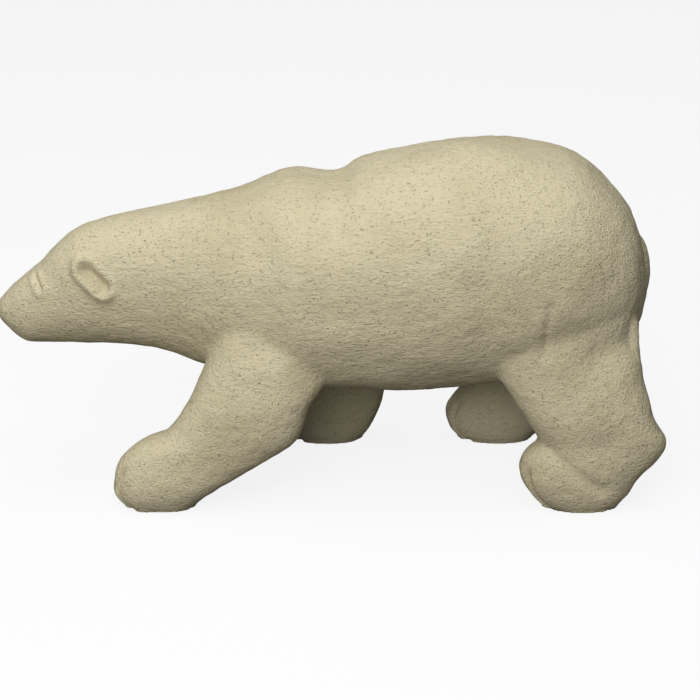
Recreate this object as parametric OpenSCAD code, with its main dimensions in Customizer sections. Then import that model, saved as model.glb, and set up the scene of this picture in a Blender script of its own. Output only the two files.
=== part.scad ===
// Carved wooden polar bear, walking, glued up from seven blocks and a tail on plain dowels.
// Nose towards -X, left side towards -Y, soles on z = 0.

/* [Overall] */
// Length from the nose to the hocks
length = 400; // [320:1:480]
// Height of the back over the hips
height = 210; // [175:1:250]
// Width across the flanks
width = 134; // [112:1:160]
// Distance from the middle plane to the centre of a paw
stance = 48; // [46:1:52]

/* [Glue-up] */
// Share of the length, ahead of the middle, at which the neck block meets the trunk block
neck_seam_share = 0.075; // [0.06:0.005:0.09]
// Share of the length, behind the middle, at which the trunk block meets the rump block
rump_seam_share = 0.2125; // [0.2:0.0025:0.22]
// Height of the flat on which each leg block is glued
leg_seam = 80; // [74:1:86]
// Distance from the middle plane to the inner side of a leg block
leg_inset = 22; // [18:1:25]

/* [Dowels] */
// Diameter of the dowels between the body blocks
body_dowel_d = 8; // [6:0.5:10]
// Length of the dowels between the body blocks
body_dowel_len = 44; // [30:1:50]
// Distance between the two dowels of a body joint
body_dowel_pitch = 44; // [30:1:50]
// Diameter of the leg dowels
leg_dowel_d = 6; // [5:0.5:8]
// Length of the leg dowels
leg_dowel_len = 30; // [24:1:36]
// Distance between the two dowels of a leg
leg_dowel_pitch = 26; // [20:1:30]
// Diameter of the tail dowel
tail_dowel_d = 4; // [3:0.5:5]
// Length of the tail dowel
tail_dowel_len = 16; // [12:1:18]
// Glue gap round a dowel
glue_gap = 0.1; // [0.05:0.05:0.2]
// Spare depth at each end of a dowel bore
end_gap = 1; // [0.5:0.5:2]

/* [Tail] */
// Width of the tail
tail_w = 19; // [15:1:23]
// Length of the tail
tail_len = 46; // [40:1:52]
// Thickness of the tail
tail_t = 9; // [8:1:11]

/* [Hidden] */

pale = "#d6cdb2";
dowel_tone = "#c9a877";
$fn = 48;

ring_points = 24;           // points round a section
steps = 2;                  // sections between two stations of the body
leg_ring_points = 16;
leg_steps = 2;
fullness = 2.3;             // exponent of a section: 2 is an ellipse, more is squarer
sole_fullness = 2.6;
room = 20;                  // how far the cutting boxes reach past the carving
neck_seam = -neck_seam_share * length;
rump_seam = rump_seam_share * length;

// Body stations: place along the length, top and bottom as shares of the height,
// half-width as a share of the width.
BODY = [
    [-0.500, 0.522, 0.500, 0.030], [-0.488, 0.550, 0.464, 0.080], [-0.460, 0.602, 0.416, 0.128],
    [-0.430, 0.648, 0.411, 0.155], [-0.400, 0.707, 0.411, 0.176], [-0.365, 0.755, 0.410, 0.205],
    [-0.302, 0.790, 0.406, 0.235], [-0.235, 0.814, 0.385, 0.272], [-0.138, 0.855, 0.325, 0.372],
    [-0.060, 0.909, 0.295, 0.455], [0.008, 0.900, 0.293, 0.478], [0.045, 0.938, 0.290, 0.486],
    [0.105, 0.967, 0.283, 0.493], [0.225, 1.000, 0.305, 0.500], [0.318, 0.980, 0.352, 0.492],
    [0.375, 0.938, 0.384, 0.455], [0.430, 0.842, 0.420, 0.360], [0.455, 0.755, 0.460, 0.260],
    [0.468, 0.665, 0.540, 0.120]];

// Leg stations, from the sole up: height in mm as a share of the leg seam, centre and
// half-length as shares of the length, centre line and half-width as shares of the stance.
LEFT_FORE = [
    [0.00, -0.251, 0.051, 1.00, 0.300], [0.10, -0.249, 0.071, 1.00, 0.365],
    [0.23, -0.230, 0.091, 1.00, 0.385], [0.38, -0.200, 0.110, 1.00, 0.380],
    [0.50, -0.1675, 0.1125, 0.99, 0.375], [0.58, -0.1425, 0.0995, 0.98, 0.380],
    [0.78, -0.120, 0.092, 0.93, 0.420], [1.00, -0.0975, 0.0925, 0.84, 0.440],
    [1.35, -0.080, 0.080, 0.70, 0.450], [1.60, -0.072, 0.050, 0.62, 0.380]];
RIGHT_FORE = [
    [0.00, -0.004, 0.054, 1.00, 0.300], [0.10, -0.002, 0.066, 1.00, 0.365],
    [0.23, 0.002, 0.074, 1.00, 0.380], [0.38, 0.008, 0.076, 1.00, 0.370],
    [0.56, 0.008, 0.076, 0.98, 0.380], [0.78, -0.006, 0.080, 0.93, 0.420],
    [1.00, -0.020, 0.086, 0.84, 0.440], [1.35, -0.030, 0.078, 0.70, 0.450],
    [1.60, -0.036, 0.050, 0.62, 0.380]];
LEFT_HIND = [
    [0.00, 0.374, 0.056, 1.00, 0.300], [0.10, 0.374, 0.073, 1.00, 0.365],
    [0.25, 0.375, 0.090, 1.00, 0.385], [0.39, 0.388, 0.101, 1.00, 0.380],
    [0.52, 0.4040, 0.0960, 1.00, 0.370], [0.70, 0.383, 0.095, 0.99, 0.400],
    [0.88, 0.366, 0.102, 0.93, 0.430], [1.05, 0.350, 0.110, 0.84, 0.480],
    [1.45, 0.325, 0.124, 0.72, 0.500], [1.80, 0.325, 0.107, 0.62, 0.380]];
RIGHT_HIND = [
    [0.00, 0.264, 0.056, 1.00, 0.300], [0.10, 0.264, 0.074, 1.00, 0.365],
    [0.25, 0.270, 0.084, 1.00, 0.385], [0.45, 0.292, 0.082, 1.00, 0.370],
    [0.62, 0.308, 0.086, 0.99, 0.390], [0.82, 0.318, 0.102, 0.93, 0.430],
    [1.05, 0.320, 0.112, 0.84, 0.480], [1.45, 0.312, 0.112, 0.72, 0.500],
    [1.80, 0.306, 0.080, 0.62, 0.380]];

// Where each leg's pair of dowels is centred, as a share of the length
LEFT_FORE_X = -0.092;
RIGHT_FORE_X = -0.022;
LEFT_HIND_X = 0.336;
RIGHT_HIND_X = 0.318;
LEG_DOWEL_Y = 0.86 * stance;
body_dowel_z = 0.6 * height;
tail_z = 0.64 * height;
tail_x = 0.458 * length;
tail_tilt = 14;

// Catmull-Rom value between b and c at t in [0, 1]
function smooth(a, b, c, d, t) =
    0.5 * (2 * b + (c - a) * t + (2 * a - 5 * b + 4 * c - d) * t * t
           + (3 * b - a - 3 * c + d) * t * t * t);
// A list of stations with n sections for each gap between them
function refined(s, n) = [
    for (i = [0 : len(s) - 2], k = [0 : n - 1])
        smooth(s[max(i - 1, 0)], s[i], s[i + 1], s[min(i + 2, len(s) - 1)], k / n),
    s[len(s) - 1]];
function signed_power(v, p) = sign(v) * pow(abs(v), p);
// One point of a superellipse with half-axes a and b
function round_point(a, b, angle, p) =
    [a * signed_power(cos(angle), 2 / p), b * signed_power(sin(angle), 2 / p)];

// A body section stands across X
function body_ring(s) = [
    for (j = [0 : ring_points - 1])
        let (q = round_point(s[3] * width, (s[1] - s[2]) / 2 * height, 360 * j / ring_points, fullness))
        [s[0] * length, q[0], (s[1] + s[2]) / 2 * height + q[1]]];
// A leg section lies flat; side is -1 for the left, 1 for the right
function leg_ring(s, side) = [
    for (j = [0 : leg_ring_points - 1])
        let (q = round_point(s[2] * length, s[4] * stance, 360 * j / leg_ring_points, sole_fullness))
        [s[1] * length + q[0], side * (s[3] * stance + side * q[1]), s[0] * leg_seam]];

// A closed solid through rings of equal length
module loft(rings) {
    n = len(rings[0]);
    last = len(rings) - 1;
    walls = [
        for (i = [0 : last - 1], j = [0 : n - 1])
            let (k = (j + 1) % n)
            each [[i * n + j, (i + 1) * n + k, i * n + k], [i * n + j, (i + 1) * n + j, (i + 1) * n + k]]];
    ends = [[for (j = [0 : n - 1]) j], [for (j = [n - 1 : -1 : 0]) last * n + j]];
    polyhedron(points = [for (r = rings) each r], faces = concat(walls, ends));
}

module body_form() {
    loft([for (s = refined(BODY, steps)) body_ring(s)]);
}

module leg_form(stations, side) {
    loft([for (s = refined(stations, leg_steps)) leg_ring(s, side)]);
}

module whole_carving() {
    body_form();
    leg_form(LEFT_FORE, -1);
    leg_form(RIGHT_FORE, 1);
    leg_form(LEFT_HIND, -1);
    leg_form(RIGHT_HIND, 1);
}

// The box that one leg block is cut from, on the given side
module leg_box(from, to, side) {
    y0 = side > 0 ? leg_inset : -width;
    translate([from, y0, -room])
        cube([to - from, width - leg_inset, leg_seam + room]);
}

module left_fore_box() {
    leg_box(-0.36 * length, 0.02 * length, -1);
}

module right_fore_box() {
    leg_box(-0.115 * length, 0.105 * length, 1);
}

module left_hind_box() {
    leg_box(rump_seam, length, -1);
}

module right_hind_box() {
    leg_box(0.165 * length, length, 1);
}

module leg_boxes() {
    left_fore_box();
    right_fore_box();
    left_hind_box();
    right_hind_box();
}

// The length of body between two planes across X
module slab(from, to) {
    translate([from, -width, -room])
        cube([to - from, 2 * width, height + 2 * room]);
}

// A block of the body between two glue faces, with flats for the leg blocks
module body_block(from, to) {
    resize([0, 0, 0])
        difference() {
            intersection() {
                whole_carving();
                slab(from, to);
            }
            leg_boxes();
        }
}

// A pair of dowels along X across a body joint; grow is the glue gap round them
module body_pair(seam, grow, spare) {
    for (side = [-1, 1])
        translate([seam - body_dowel_len / 2 - spare, side * body_dowel_pitch / 2, body_dowel_z])
            rotate([0, 90, 0])
                cylinder(d = body_dowel_d + 2 * grow, h = body_dowel_len + 2 * spare);
}

// A pair of upright dowels across a leg joint
module leg_pair(centre, side, grow, spare) {
    for (way = [-1, 1])
        translate([centre * length + way * leg_dowel_pitch / 2, side * LEG_DOWEL_Y,
                   leg_seam - leg_dowel_len / 2 - spare])
            cylinder(d = leg_dowel_d + 2 * grow, h = leg_dowel_len + 2 * spare);
}

module tail_pin(grow, spare) {
    translate([tail_x - tail_dowel_len + tail_t / 4 - spare, 0, tail_z])
        rotate([0, 90, 0])
            cylinder(d = tail_dowel_d + 2 * grow, h = tail_dowel_len + 2 * spare);
}

module head_neck_block() {
    color(pale)
        difference() {
            body_block(-length, neck_seam);
            body_pair(neck_seam, glue_gap, end_gap);
            leg_pair(LEFT_FORE_X, -1, glue_gap, end_gap);
        }
}

module trunk_block() {
    color(pale)
        difference() {
            body_block(neck_seam, rump_seam);
            body_pair(neck_seam, glue_gap, end_gap);
            body_pair(rump_seam, glue_gap, end_gap);
            leg_pair(LEFT_FORE_X, -1, glue_gap, end_gap);
            leg_pair(RIGHT_FORE_X, 1, glue_gap, end_gap);
        }
}

module rump_block() {
    color(pale)
        difference() {
            body_block(rump_seam, length);
            body_pair(rump_seam, glue_gap, end_gap);
            leg_pair(LEFT_HIND_X, -1, glue_gap, end_gap);
            leg_pair(RIGHT_HIND_X, 1, glue_gap, end_gap);
            tail_pin(glue_gap, end_gap);
        }
}

module left_foreleg() {
    color(pale)
        difference() {
            resize([0, 0, 0])
                intersection() {
                    whole_carving();
                    left_fore_box();
                }
            leg_pair(LEFT_FORE_X, -1, glue_gap, end_gap);
        }
}

module right_foreleg() {
    color(pale)
        difference() {
            resize([0, 0, 0])
                intersection() {
                    whole_carving();
                    right_fore_box();
                }
            leg_pair(RIGHT_FORE_X, 1, glue_gap, end_gap);
        }
}

module left_hind_leg() {
    color(pale)
        difference() {
            resize([0, 0, 0])
                intersection() {
                    whole_carving();
                    left_hind_box();
                }
            leg_pair(LEFT_HIND_X, -1, glue_gap, end_gap);
        }
}

module right_hind_leg() {
    color(pale)
        difference() {
            resize([0, 0, 0])
                intersection() {
                    whole_carving();
                    right_hind_box();
                }
            leg_pair(RIGHT_HIND_X, 1, glue_gap, end_gap);
        }
}

module tail() {
    color(pale)
        difference() {
            resize([0, 0, 0])
                difference() {
                    translate([tail_x, 0, tail_z])
                        rotate([0, -tail_tilt, 0])
                            scale([tail_t, tail_w / 2, tail_len / 2])
                                sphere(r = 1, $fn = 20);
                    whole_carving();
                }
            tail_pin(glue_gap, end_gap);
        }
}

module neck_dowels() {
    color(dowel_tone)
        body_pair(neck_seam, 0, 0);
}

module rump_dowels() {
    color(dowel_tone)
        body_pair(rump_seam, 0, 0);
}

module left_foreleg_dowels() {
    color(dowel_tone)
        leg_pair(LEFT_FORE_X, -1, 0, 0);
}

module right_foreleg_dowels() {
    color(dowel_tone)
        leg_pair(RIGHT_FORE_X, 1, 0, 0);
}

module left_hind_dowels() {
    color(dowel_tone)
        leg_pair(LEFT_HIND_X, -1, 0, 0);
}

module right_hind_dowels() {
    color(dowel_tone)
        leg_pair(RIGHT_HIND_X, 1, 0, 0);
}

module tail_dowel() {
    color(dowel_tone)
        tail_pin(0, 0);
}

head_neck_block();
trunk_block();
rump_block();
left_foreleg();
right_foreleg();
left_hind_leg();
right_hind_leg();
tail();
neck_dowels();
rump_dowels();
left_foreleg_dowels();
right_foreleg_dowels();
left_hind_dowels();
right_hind_dowels();
tail_dowel();
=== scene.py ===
"""A carved wooden polar bear: glued blocks, a tail and hidden dowels, dressed and lit."""
import logging
import math
from dataclasses import dataclass, field
from enum import Enum

import bpy
import numpy as np
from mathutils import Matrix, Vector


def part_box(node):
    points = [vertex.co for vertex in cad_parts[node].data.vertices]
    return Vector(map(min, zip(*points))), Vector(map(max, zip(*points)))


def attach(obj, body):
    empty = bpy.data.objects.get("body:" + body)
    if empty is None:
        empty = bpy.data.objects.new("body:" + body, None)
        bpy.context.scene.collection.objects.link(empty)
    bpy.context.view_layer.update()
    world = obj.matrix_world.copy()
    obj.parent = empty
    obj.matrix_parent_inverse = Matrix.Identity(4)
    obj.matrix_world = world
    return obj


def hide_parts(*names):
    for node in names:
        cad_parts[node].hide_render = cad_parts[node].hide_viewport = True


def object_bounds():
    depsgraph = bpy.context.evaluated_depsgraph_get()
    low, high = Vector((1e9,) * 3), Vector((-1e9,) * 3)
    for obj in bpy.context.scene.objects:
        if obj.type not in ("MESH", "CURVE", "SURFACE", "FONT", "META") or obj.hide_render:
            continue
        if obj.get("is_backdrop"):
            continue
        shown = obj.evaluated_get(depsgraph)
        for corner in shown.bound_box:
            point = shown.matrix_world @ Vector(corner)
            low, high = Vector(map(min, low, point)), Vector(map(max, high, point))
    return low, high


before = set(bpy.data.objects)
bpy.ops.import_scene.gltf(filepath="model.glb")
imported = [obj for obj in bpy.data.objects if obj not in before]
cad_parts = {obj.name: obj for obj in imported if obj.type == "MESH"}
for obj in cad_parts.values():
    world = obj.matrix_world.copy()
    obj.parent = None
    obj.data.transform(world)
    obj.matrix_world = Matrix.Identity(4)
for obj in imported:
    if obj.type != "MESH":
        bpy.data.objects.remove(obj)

LOG = logging.getLogger("polar_bear")
Array = np.ndarray


class Side(Enum):
    """The side of the bear's middle plane: its left is towards -Y."""

    LEFT = -1
    RIGHT = 1


@dataclass(frozen=True)
class Overall:
    """Overall sizes in metres, taken from the frame's own box."""

    length: float
    height: float
    width: float
    seam: float
    stance: float

    @classmethod
    def from_frame(cls) -> "Overall":
        """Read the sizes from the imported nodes."""
        low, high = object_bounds()
        back_low, back_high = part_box("rump_block")
        leg_low, leg_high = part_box("left_foreleg")
        stance = 0.72 * abs(leg_low[1])
        return cls(high[0] - low[0], back_high[2], back_high[1] - back_low[1], leg_high[2], stance)


def smooth_stations(stations: Array, count: int) -> Array:
    """Refine stations with a Catmull-Rom curve.

    Formula: each gap between two stations b and c, with neighbours a and d, is
    0.5 (2b + (c-a)t + (2a-5b+4c-d)t^2 + (3b-a-3c+d)t^3) for t from 0 to 1.

    Args:
        stations: one row for each station.
        count: how many rows the result has.

    Returns:
        The refined rows.
    """
    last = len(stations) - 1
    place = np.linspace(0, last, count)
    base = np.minimum(place.astype(int), last - 1)
    t = (place - base)[:, None]
    a, b = stations[np.maximum(base - 1, 0)], stations[base]
    c, d = stations[base + 1], stations[np.minimum(base + 2, last)]
    return 0.5 * (2 * b + (c - a) * t + (2 * a - 5 * b + 4 * c - d) * t ** 2
                  + (3 * b - a - 3 * c + d) * t ** 3)


def superellipse(count: int, power: float) -> tuple[Array, Array]:
    """Unit section: sign(cos) |cos|^(2/p), sign(sin) |sin|^(2/p) round the turn.

    Args:
        count: points round the section.
        power: 2 is an ellipse, more is squarer.

    Returns:
        Two arrays of count values.
    """
    turn = np.linspace(0, 2 * math.pi, count, endpoint=False)
    cos, sin = np.cos(turn), np.sin(turn)
    return (np.sign(cos) * np.abs(cos) ** (2 / power), np.sign(sin) * np.abs(sin) ** (2 / power))


def closed_grid(points: Array) -> tuple[Array, Array]:
    """Faces for a grid of rings: quads between rings and a fan at each end.

    Args:
        points: rings by points by three.

    Returns:
        The vertices, with one pole at each end, and triangles that face outwards.
    """
    rings, count, _ = points.shape
    flat = points.reshape(-1, 3)
    poles = np.stack([points[0].mean(0), points[-1].mean(0)])
    i, j = np.meshgrid(np.arange(rings - 1), np.arange(count), indexing="ij")
    k = (j + 1) % count
    a, b, c, d = i * count + j, i * count + k, (i + 1) * count + k, (i + 1) * count + j
    walls = np.concatenate([np.stack([a, b, c], -1).reshape(-1, 3), np.stack([a, c, d], -1).reshape(-1, 3)])
    around = np.arange(count)
    after = (around + 1) % count
    start, end = rings * count, rings * count + 1
    first = np.stack([np.full(count, start), after, around], -1)
    top = (rings - 1) * count
    final = np.stack([np.full(count, end), top + around, top + after], -1)
    return np.concatenate([flat, poles]), np.concatenate([walls, first, final])


def mesh_object(name: str, points: Array, faces: Array) -> bpy.types.Object:
    """Put points and faces into a new object at the origin."""
    mesh = bpy.data.meshes.new(name)
    mesh.from_pydata(points.tolist(), [], faces.tolist())
    mesh.update()
    thing = bpy.data.objects.new(name, mesh)
    bpy.context.scene.collection.objects.link(thing)
    return thing


def read_points(mesh: bpy.types.Mesh) -> Array:
    """The mesh's vertex places as an array."""
    flat = np.empty(len(mesh.vertices) * 3)
    mesh.vertices.foreach_get("co", flat)
    return flat.reshape(-1, 3)


def read_normals(mesh: bpy.types.Mesh) -> Array:
    """The mesh's vertex normals as an array."""
    flat = np.empty(len(mesh.vertices) * 3)
    mesh.vertex_normals.foreach_get("vector", flat)
    return flat.reshape(-1, 3)


def bake_modifiers(thing: bpy.types.Object) -> None:
    """Replace the object's mesh by its evaluated one and drop its modifiers."""
    graph = bpy.context.evaluated_depsgraph_get()
    mesh = bpy.data.meshes.new_from_object(thing.evaluated_get(graph))
    thing.modifiers.clear()
    thing.data = mesh


def value_noise(points: Array, cell: float, seed: int) -> Array:
    """Smooth noise: random lattice values blended with t^2 (3 - 2t) along each axis.

    Args:
        points: places in metres.
        cell: lattice spacing in metres.
        seed: seed of the lattice.

    Returns:
        One value from -1 to 1 for each point.
    """
    size = 32
    lattice = np.random.default_rng(seed).uniform(-1, 1, (size, size, size))
    place = points / cell
    base = np.floor(place).astype(int)
    t = place - base
    t = t * t * (3 - 2 * t)
    total = np.zeros(len(points))
    for dx in (0, 1):
        for dy in (0, 1):
            for dz in (0, 1):
                corner = (base + (dx, dy, dz)) % size
                weight = (np.abs(1 - dx - t[:, 0]) * np.abs(1 - dy - t[:, 1]) * np.abs(1 - dz - t[:, 2]))
                total += weight * lattice[corner[:, 0], corner[:, 1], corner[:, 2]]
    return total


def bell(distance: Array, width: float) -> Array:
    """A bell curve: exp(-(distance / width)^2)."""
    return np.exp(-(distance / width) ** 2)


def ramp(value: Array, low: float, high: float) -> Array:
    """Smooth step from 0 at low to 1 at high."""
    t = np.clip((value - low) / (high - low), 0, 1)
    return t * t * (3 - 2 * t)


def to_segment(points: Array, start: tuple[float, float], end: tuple[float, float]) -> Array:
    """Distance to a segment in the side view: from a point to its foot on the segment.

    Args:
        points: places in metres.
        start: X and Z of the segment's start.
        end: X and Z of its end.

    Returns:
        The distance for each point.
    """
    a, b = np.array(start), np.array(end)
    flat = points[:, [0, 2]] - a
    way = b - a
    t = np.clip(flat @ way / (way @ way), 0, 1)
    return np.linalg.norm(flat - t[:, None] * way, axis=1)


@dataclass
class Carving:
    """The bear's carved form, cut into its blocks."""

    size: Overall
    voxel: float = 0.0014
    skin_power: float = 2.25
    leg_power: float = 2.4
    body: list = field(default_factory=lambda: [
        [-0.500, 0.522, 0.500, 0.030], [-0.488, 0.550, 0.464, 0.080], [-0.460, 0.602, 0.416, 0.128],
        [-0.430, 0.648, 0.411, 0.155], [-0.400, 0.707, 0.411, 0.176], [-0.365, 0.755, 0.410, 0.205],
        [-0.302, 0.790, 0.406, 0.235], [-0.235, 0.814, 0.385, 0.272], [-0.138, 0.855, 0.325, 0.372],
        [-0.060, 0.909, 0.295, 0.455], [0.008, 0.900, 0.293, 0.478], [0.045, 0.938, 0.290, 0.486],
        [0.105, 0.967, 0.283, 0.493], [0.225, 1.000, 0.305, 0.500], [0.318, 0.980, 0.352, 0.492],
        [0.375, 0.938, 0.384, 0.455], [0.430, 0.842, 0.420, 0.360], [0.455, 0.755, 0.460, 0.260],
        [0.468, 0.665, 0.540, 0.120]])
    left_fore: list = field(default_factory=lambda: [
        [0.00, -0.251, 0.051, 1.00, 0.300], [0.10, -0.249, 0.071, 1.00, 0.365],
        [0.23, -0.230, 0.091, 1.00, 0.385], [0.38, -0.200, 0.110, 1.00, 0.380],
        [0.50, -0.1675, 0.1125, 0.99, 0.375], [0.58, -0.1425, 0.0995, 0.98, 0.380],
        [0.78, -0.120, 0.092, 0.93, 0.420], [1.00, -0.0975, 0.0925, 0.84, 0.440],
        [1.35, -0.080, 0.080, 0.70, 0.450], [1.60, -0.072, 0.050, 0.62, 0.380]])
    right_fore: list = field(default_factory=lambda: [
        [0.00, -0.004, 0.054, 1.00, 0.300], [0.10, -0.002, 0.066, 1.00, 0.365],
        [0.23, 0.002, 0.074, 1.00, 0.380], [0.38, 0.008, 0.076, 1.00, 0.370],
        [0.56, 0.008, 0.076, 0.98, 0.380], [0.78, -0.006, 0.080, 0.93, 0.420],
        [1.00, -0.020, 0.086, 0.84, 0.440], [1.35, -0.030, 0.078, 0.70, 0.450],
        [1.60, -0.036, 0.050, 0.62, 0.380]])
    left_hind: list = field(default_factory=lambda: [
        [0.00, 0.374, 0.056, 1.00, 0.300], [0.10, 0.374, 0.073, 1.00, 0.365],
        [0.25, 0.375, 0.090, 1.00, 0.385], [0.39, 0.388, 0.101, 1.00, 0.380],
        [0.52, 0.4040, 0.0960, 1.00, 0.370], [0.70, 0.383, 0.095, 0.99, 0.400],
        [0.88, 0.366, 0.102, 0.93, 0.430], [1.05, 0.350, 0.110, 0.84, 0.480],
        [1.45, 0.325, 0.124, 0.72, 0.500], [1.80, 0.325, 0.107, 0.62, 0.380]])
    right_hind: list = field(default_factory=lambda: [
        [0.00, 0.264, 0.056, 1.00, 0.300], [0.10, 0.264, 0.074, 1.00, 0.365],
        [0.25, 0.270, 0.084, 1.00, 0.385], [0.45, 0.292, 0.082, 1.00, 0.370],
        [0.62, 0.308, 0.086, 0.99, 0.390], [0.82, 0.318, 0.102, 0.93, 0.430],
        [1.05, 0.320, 0.112, 0.84, 0.480], [1.45, 0.312, 0.112, 0.72, 0.500],
        [1.80, 0.306, 0.080, 0.62, 0.380]])

    def body_form(self) -> bpy.types.Object:
        """Head, neck and trunk: superellipse sections across X, smoothed between the stations."""
        rows = smooth_stations(np.array(self.body), 150)
        across, up = superellipse(96, self.skin_power)
        x = rows[:, :1] * self.size.length + 0 * across
        y = rows[:, 3:] * self.size.width * across
        half = (rows[:, 1:2] - rows[:, 2:3]) / 2 * self.size.height
        z = (rows[:, 1:2] + rows[:, 2:3]) / 2 * self.size.height + half * up
        return mesh_object("body_form", *closed_grid(np.stack([x, y, z], -1)))

    def leg_form(self, stations: list, side: Side) -> bpy.types.Object:
        """A leg: level superellipse sections, smoothed from the sole up to the shoulder or hip."""
        rows = smooth_stations(np.array(stations), 70)
        along, across = superellipse(72, self.leg_power)
        x = rows[:, 1:2] * self.size.length + rows[:, 2:3] * self.size.length * along
        y = side.value * rows[:, 3:4] * self.size.stance + rows[:, 4:5] * self.size.stance * across
        z = rows[:, :1] * self.size.seam + 0 * along
        return mesh_object("leg_form", *closed_grid(np.stack([x, y, z], -1)))

    def merged(self) -> bpy.types.Object:
        """Join the forms, merge them into one skin, and soften the hollows between them."""
        forms = [self.body_form(), self.leg_form(self.left_fore, Side.LEFT),
                 self.leg_form(self.right_fore, Side.RIGHT), self.leg_form(self.left_hind, Side.LEFT),
                 self.leg_form(self.right_hind, Side.RIGHT)]
        skin = forms[0]
        with bpy.context.temp_override(active_object=skin, object=skin, selected_objects=forms,
                                       selected_editable_objects=forms):
            bpy.ops.object.join()
        remesh = skin.modifiers.new("merge", "REMESH")
        remesh.mode = "VOXEL"
        remesh.voxel_size = self.voxel
        soften = skin.modifiers.new("soften", "SMOOTH")
        soften.factor = 0.5
        soften.iterations = 24
        bake_modifiers(skin)
        return skin

    def carve(self, skin: bpy.types.Object) -> None:
        """Move the skin along its normals: ears, eyes, hollows, creases, toes and tool marks."""
        points, normals = read_points(skin.data), read_normals(skin.data)
        side = np.abs(normals[:, 1])
        lift = self.ears(points, side) + self.eyes(points, side) + self.hollows(points, side)
        lift += self.toes(points, normals)
        lift += 0.0007 * value_noise(points * (0.6, 1, 1), 0.016, 3) + 0.00028 * value_noise(points, 0.005, 5)
        points = points + lift[:, None] * normals
        points[:, 2] = np.where(points[:, 2] < 0.0012, 0, points[:, 2])
        skin.data.vertices.foreach_set("co", points.ravel())
        skin.data.update()

    def ears(self, points: Array, side: Array) -> Array:
        """Each ear is a raised rim round a long slanting hollow on the side of the head."""
        distance = to_segment(points, (-0.142, 0.140), (-0.132, 0.131))
        rim = 0.0030 * bell(distance - 0.0062, 0.0027) * (1 - 0.8 * ramp(points[:, 0] + points[:, 2], -0.002, 0.010))
        hollow = -0.0050 * bell(distance, 0.0036)
        return (rim + hollow) * ramp(side, 0.25, 0.6)

    def eyes(self, points: Array, side: Array) -> Array:
        """Each eye is a closed slit in a soft lid."""
        distance = to_segment(points, (-0.1745, 0.1315), (-0.1708, 0.1255))
        return (0.0010 * bell(distance - 0.003, 0.0018) - 0.0018 * bell(distance, 0.0014)) * ramp(side, 0.2, 0.5)

    def hollows(self, points: Array, side: Array) -> Array:
        """Hollow ahead of the shoulder, the flank and thigh creases and the hollow over the hock."""
        x, z = points[:, 0], points[:, 2]
        face = ramp(side, 0.15, 0.6)
        shoulder = ramp(x, -0.066, -0.036) * (1 - ramp(x, -0.037, -0.016))
        lift = -0.0034 * shoulder * ramp(z, 0.085, 0.105) * (1 - ramp(z, 0.158, 0.186))
        lift += -0.0022 * bell(x - 0.090, 0.011) * ramp(z, 0.075, 0.11) * (1 - ramp(z, 0.15, 0.19))
        distance = to_segment(points, (0.124, 0.100), (0.126, 0.132))
        lift += -0.0012 * bell(distance, 0.0025)
        distance = to_segment(points, (0.158, 0.100), (0.184, 0.108))
        lift += -0.0045 * bell(distance, 0.012)
        return lift * face

    def toes(self, points: Array, normals: Array) -> Array:
        """Grooves between four toes at the front of each paw, and the crease round the near hind paw."""
        lift = np.zeros(len(points))
        fronts = ((-0.127, Side.LEFT), (-0.028, Side.RIGHT), (0.114, Side.LEFT), (0.073, Side.RIGHT))
        for front, side in fronts:
            centre = side.value * self.size.stance
            near = (1 - ramp(points[:, 0], front + 0.010, front + 0.022)) * ramp(points[:, 0], front - 0.02, front)
            near *= (1 - ramp(points[:, 2], 0.020, 0.030)) * (np.abs(points[:, 1] - centre) < 0.03)
            pitch = self.size.stance * 0.2
            wave = np.cos(2 * math.pi * (points[:, 1] - centre) / pitch)
            lift += -0.0028 * near * ramp(wave, 0.2, 1.0) + 0.0008 * near
        distance = to_segment(points, (0.129, 0.040), (0.160, 0.016))
        lift += -0.0017 * bell(distance, 0.0036) * ramp(-normals[:, 1], 0.1, 0.5)
        return lift

    def cutter(self, low: Array, high: Array) -> bpy.types.Object:
        """A plain box between two corners, used only to cut and then removed."""
        pick = np.array([[i, j, k] for i in (0, 1) for j in (0, 1) for k in (0, 1)])
        corners = np.where(pick, high, low).astype(float)
        quads = np.array([[0, 1, 3, 2], [4, 6, 7, 5], [0, 4, 5, 1], [2, 3, 7, 6], [0, 2, 6, 4], [1, 5, 7, 3]])
        return mesh_object("cutter", corners, quads)

    def cut(self, piece: bpy.types.Object, cutter: bpy.types.Object, operation: str) -> None:
        """Apply one boolean and remove the cutter."""
        step = piece.modifiers.new("cut", "BOOLEAN")
        step.operation = operation
        step.solver = "MANIFOLD"
        step.object = cutter
        bake_modifiers(piece)
        bpy.data.objects.remove(cutter)

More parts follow.
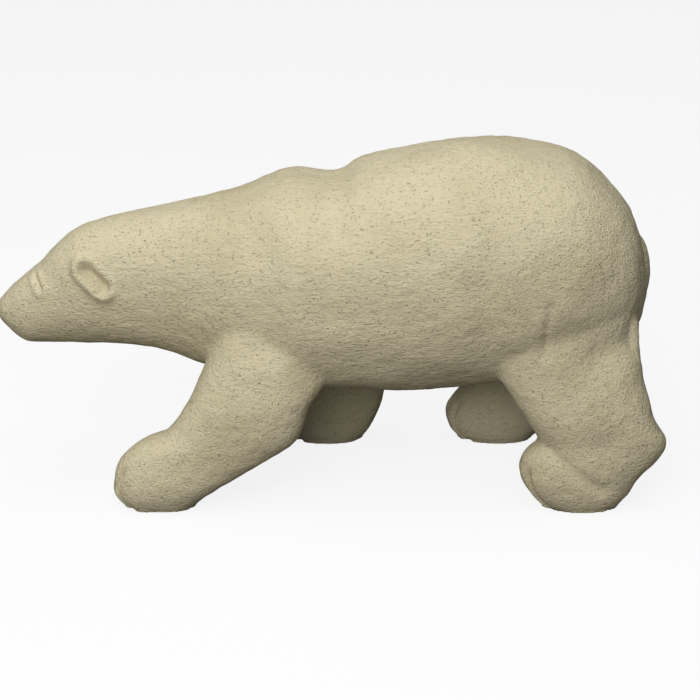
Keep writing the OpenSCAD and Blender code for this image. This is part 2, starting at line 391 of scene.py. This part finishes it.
    def block(self, skin: bpy.types.Object, node: str, legs: list) -> bpy.types.Object:
        """One block: the skin inside the block's glue planes.

        Args:
            skin: the whole carved form.
            node: the node that the block stands for.
            legs: leg nodes whose boxes are cut away, empty for a leg itself.

        Returns:
            The new piece.
        """
        piece = skin.copy()
        piece.data = skin.data.copy()
        piece.name = "carved_" + node
        bpy.context.scene.collection.objects.link(piece)
        low, high = (np.array(c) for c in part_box(node))
        reach = 0.05
        if legs:
            low, high = low - (0, reach, reach), high + (0, reach, reach)
            low[0] -= reach if node == "head_neck_block" else 0
            high[0] += reach if node == "rump_block" else 0
        else:
            left = high[1] < 0
            low = np.array([low[0] - 0.02, low[1] - 0.02 if left else low[1], -0.02])
            high = np.array([high[0] + 0.02, high[1] if left else high[1] + 0.02, high[2]])
            if node == "left_hind_leg":
                low[0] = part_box("rump_block")[0][0]
        self.cut(piece, self.cutter(low, high), "INTERSECT")
        for leg in legs:
            leg_low, leg_high = (np.array(c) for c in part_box(leg))
            left = leg_high[1] < 0
            box_low = np.array([leg_low[0] - 0.02, leg_low[1] - 0.1 if left else leg_low[1], -0.1])
            box_high = np.array([leg_high[0] + 0.02, leg_high[1] if left else leg_high[1] + 0.1, leg_high[2]])
            if leg == "left_hind_leg":
                box_low[0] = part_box("rump_block")[0][0]
            self.cut(piece, self.cutter(box_low, box_high), "DIFFERENCE")
        return piece

    def tail(self, skin: bpy.types.Object) -> bpy.types.Object:
        """The tail: a flat tapering tongue lying on the rump, sections carried down a gentle bow."""
        low, high = (np.array(c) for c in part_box("tail"))
        t = np.linspace(0.0, 1.0, 60)[:, None]
        turn = np.linspace(0, 2 * math.pi, 48, endpoint=False)
        swell = np.sqrt(np.clip(1 - (2 * t - 1) ** 4, 0, 1))
        half_y = (high[1] - low[1]) / 2 * swell * (0.78 + 0.22 * np.sin(math.pi * t))
        half_x = 0.0050 * swell
        z = high[2] - (high[2] - low[2]) * t
        rump = read_points(skin.data)
        rump = rump[(np.abs(rump[:, 1]) < 0.003) & (rump[:, 0] > 0.1)]
        rump = rump[np.argsort(rump[:, 2])]
        outline = np.interp(z[:, 0], rump[:, 2], rump[:, 0])[:, None]
        x = outline - 0.0018 + half_x * np.cos(turn)
        y = half_y * np.sin(turn)
        z = z + 0 * turn
        points, faces = closed_grid(np.stack([x, y, z], -1))
        piece = mesh_object("carved_tail", points, faces[:, ::-1])
        return piece


class Wire:
    """A shader socket with arithmetic: an expression adds its Math nodes."""

    def __init__(self, tree: "Shop", socket) -> None:
        """Keep the tree and the output socket."""
        self.tree, self.socket = tree, socket

    def _math(self, operation: str, *values) -> "Wire":
        """One Math node."""
        return self.tree.node("ShaderNodeMath", {"operation": operation}, dict(enumerate(values)))

    def __add__(self, other) -> "Wire":
        """Sum."""
        return self._math("ADD", self, other)

    __radd__ = __add__

    def __mul__(self, other) -> "Wire":
        """Product."""
        return self._math("MULTIPLY", self, other)

    __rmul__ = __mul__

    def __sub__(self, other) -> "Wire":
        """Difference."""
        return self._math("SUBTRACT", self, other)

    def __rsub__(self, other) -> "Wire":
        """Reflected difference."""
        return self._math("SUBTRACT", other, self)

    def between(self, low: float, high: float) -> "Wire":
        """Smooth step from 0 at low to 1 at high."""
        return self.tree.node("ShaderNodeMapRange", {"interpolation_type": "SMOOTHSTEP"},
                              {0: self, 1: low, 2: high, 3: 0.0, 4: 1.0})


class Shop:
    """Builds one material's nodes."""

    def __init__(self, name: str) -> None:
        """Make an empty node material."""
        self.material = bpy.data.materials.new(name)
        self.material.use_nodes = True
        self.tree = self.material.node_tree
        self.shader = self.tree.nodes["Principled BSDF"]

    def node(self, kind: str, settings: dict, inputs: dict, out: int | str = 0) -> Wire:
        """Any node: its settings first, then the values or wires of its sockets."""
        made = self.tree.nodes.new(kind)
        for key, value in settings.items():
            setattr(made, key, value)
        for key, value in inputs.items():
            self.feed(made.inputs[key], value)
        return Wire(self, made.outputs[out])

    def feed(self, socket, value) -> None:
        """Link a wire to a socket, or set its value."""
        if isinstance(value, Wire):
            self.tree.links.new(value.socket, socket)
        else:
            socket.default_value = value

    def noise(self, scale: float, stretch: tuple, detail: float = 3.0) -> Wire:
        """Noise on Object coordinates, stretched by a Mapping node."""
        place = self.node("ShaderNodeTexCoord", {}, {}, "Object")
        turned = self.node("ShaderNodeMapping", {}, {0: place, 3: stretch})
        return self.node("ShaderNodeTexNoise", {}, {"Vector": turned, "Scale": scale, "Detail": detail})

    def blend(self, mask: Wire, a, b) -> Wire:
        """Mix two colours by a mask."""
        made = self.tree.nodes.new("ShaderNodeMix")
        made.data_type = "RGBA"
        self.feed(made.inputs[0], mask)
        self.feed(made.inputs[6], a)
        self.feed(made.inputs[7], b)
        return Wire(self, made.outputs[2])


@dataclass(frozen=True)
class CarvedWood:
    """Raw pale carved wood: fine short streaks, pits, faint yellow patches, matt."""

    name: str
    streak: float
    pale: tuple = (0.665, 0.598, 0.405, 1)
    warm: tuple = (0.56, 0.495, 0.315, 1)
    dark: tuple = (0.36, 0.30, 0.185, 1)

    def material(self) -> bpy.types.Material:
        """Build the finish; streak is how much longer the grain runs along X than across."""
        shop = Shop(self.name)
        patches = shop.noise(24.0, (1, 1, 1)).between(0.42, 0.68)
        grain = shop.noise(900.0, (1 / self.streak, 1, 1), 4.0)
        coarse = shop.noise(420.0, (1 / self.streak, 1, 1), 2.0)
        pits = shop.noise(900.0, (0.7, 1, 1), 1.0).between(0.66, 0.74)
        flecks = grain.between(0.52, 0.70) * 0.28
        colour = shop.blend(patches * 0.55, self.pale, self.warm)
        colour = shop.blend(flecks + pits * 0.45, colour, self.dark)
        height = grain * 0.9 + coarse * 0.8 - pits * 0.9
        bump = shop.node("ShaderNodeBump", {}, {"Strength": 0.85, "Distance": 0.0010, "Height": height})
        shop.feed(shop.shader.inputs["Base Color"], colour)
        shop.feed(shop.shader.inputs["Roughness"], 0.80 + 0.12 * grain)
        shop.feed(shop.shader.inputs["Normal"], bump)
        shop.shader.inputs["Specular IOR Level"].default_value = 0.25
        return shop.material


@dataclass(frozen=True)
class DowelWood:
    """Turned hardwood dowel: long darker streaks."""

    name: str = "dowel_wood"

    def material(self) -> bpy.types.Material:
        """Build the finish."""
        shop = Shop(self.name)
        grain = shop.noise(400.0, (0.1, 1, 1)).between(0.4, 0.65)
        shop.feed(shop.shader.inputs["Base Color"],
                  shop.blend(grain, (0.58, 0.40, 0.22, 1), (0.42, 0.27, 0.13, 1)))
        shop.shader.inputs["Roughness"].default_value = 0.6
        return shop.material


@dataclass
class Bear:
    """The whole figurine: every block, the tail and the dowels."""

    carving: Carving
    legs: tuple = ("left_foreleg", "right_foreleg", "left_hind_leg", "right_hind_leg")
    blocks: tuple = ("head_neck_block", "trunk_block", "rump_block")

    def build(self) -> None:
        """Make, dress and name every piece."""
        skin = self.carving.merged()
        self.carving.carve(skin)
        long_grain = CarvedWood("carved_wood_long_grain", 2.4).material()
        short_grain = CarvedWood("carved_wood_short_grain", 1.3).material()
        for node in self.blocks + self.legs:
            legs = list(self.legs) if node in self.blocks else []
            piece = self.carving.block(skin, node, legs)
            self.finish(piece, node, long_grain if node in ("head_neck_block", "trunk_block") else short_grain)
        self.finish(self.carving.tail(skin), "tail", short_grain)
        bpy.data.objects.remove(skin)
        dowel = DowelWood().material()
        for thing in [o for o in bpy.data.objects if o.type == "MESH" and "dowel" in o.name]:
            for slot in thing.material_slots:
                slot.material = dowel

    def finish(self, piece: bpy.types.Object, node: str, material: bpy.types.Material) -> None:
        """Give a piece its material and its body, and shade it smooth."""
        piece.data.materials.clear()
        piece.data.materials.append(material)
        piece.data.shade_smooth()
        piece.data.set_sharp_from_angle(angle=math.radians(50))
        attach(piece, "root")
        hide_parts(node)
        LOG.info("%s: %d vertices", piece.name, len(piece.data.vertices))


class Studio:
    """Floor, soft lamps, world and camera."""

    def floor(self) -> None:
        """A large level white sheet under the soles; the camera sees it white, with the shadow kept."""
        points = np.array([[-4, -4, 0], [4, -4, 0], [4, 6, 0], [-4, 6, 0]], float)
        sheet = mesh_object("floor", points, np.array([[0, 1, 2, 3]]))
        shop = Shop("floor_white")
        seen = shop.node("ShaderNodeLightPath", {}, {}, "Is Camera Ray")
        shop.feed(shop.shader.inputs["Base Color"],
                  shop.blend(seen, (0.10, 0.09, 0.08, 1), (0.93, 0.93, 0.93, 1)))
        shop.shader.inputs["Roughness"].default_value = 0.9
        white = shop.node("ShaderNodeEmission", {}, {"Color": (1, 1, 1, 1), "Strength": 1.0})
        plain = Wire(shop, shop.shader.outputs[0])
        shade = shop.node("ShaderNodeMixShader", {}, {0: seen * 0.86, 1: plain, 2: white})
        shop.tree.links.new(shade.socket, shop.tree.nodes["Material Output"].inputs[0])
        sheet.data.materials.append(shop.material)
        sheet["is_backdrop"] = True

    def lamps(self) -> None:
        """One large soft lamp overhead and a weak one from the front."""
        for name, place, turn, size, power in (
                ("overhead", (-0.1, -0.15, 1.5), (0.1, 0, 0), 1.3, 11.0),
                ("front", (-0.35, -1.35, 1.05), (math.radians(54), 0, -0.25), 1.1, 19.0)):
            lamp = bpy.data.lights.new(name, "AREA")
            lamp.size, lamp.energy = size, power
            thing = bpy.data.objects.new(name, lamp)
            thing.location, thing.rotation_euler = place, turn
            bpy.context.scene.collection.objects.link(thing)
        world = bpy.data.worlds.new("studio")
        world.use_nodes = True
        tree, sky = world.node_tree, world.node_tree.nodes["Background"]
        sky.inputs[1].default_value = 0.12
        seen, white = tree.nodes.new("ShaderNodeLightPath"), tree.nodes.new("ShaderNodeBackground")
        mix = tree.nodes.new("ShaderNodeMixShader")
        sky.inputs[0].default_value = white.inputs[0].default_value = (1, 1, 1, 1)
        tree.links.new(seen.outputs["Is Camera Ray"], mix.inputs[0])
        tree.links.new(sky.outputs[0], mix.inputs[1])
        tree.links.new(white.outputs[0], mix.inputs[2])
        tree.links.new(mix.outputs[0], tree.nodes["World Output"].inputs[0])
        bpy.context.scene.world = world

    def camera(self) -> None:
        """A long lens, level across the bear and looking down a little."""
        tilt, distance = math.radians(23), 1.28
        target = np.array([0.012, 0, 0.0788])
        data = bpy.data.cameras.new("camera")
        data.sensor_width, data.lens = 36, 36 * 2112 / 700
        thing = bpy.data.objects.new("camera", data)
        thing.location = target + distance * np.array([0, -math.cos(tilt), math.sin(tilt)])
        thing.rotation_euler = (math.pi / 2 - tilt, 0, 0)
        bpy.context.scene.collection.objects.link(thing)
        bpy.context.scene.camera = thing


def main() -> None:
    """Build the figurine and its studio."""
    logging.basicConfig(level=logging.INFO)
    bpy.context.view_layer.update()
    Bear(Carving(Overall.from_frame())).build()
    studio = Studio()
    studio.floor()
    studio.lamps()
    studio.camera()
    bpy.context.scene.view_settings.view_transform = "Standard"
    bpy.context.view_layer.update()


if __name__ == "__main__":
    main()
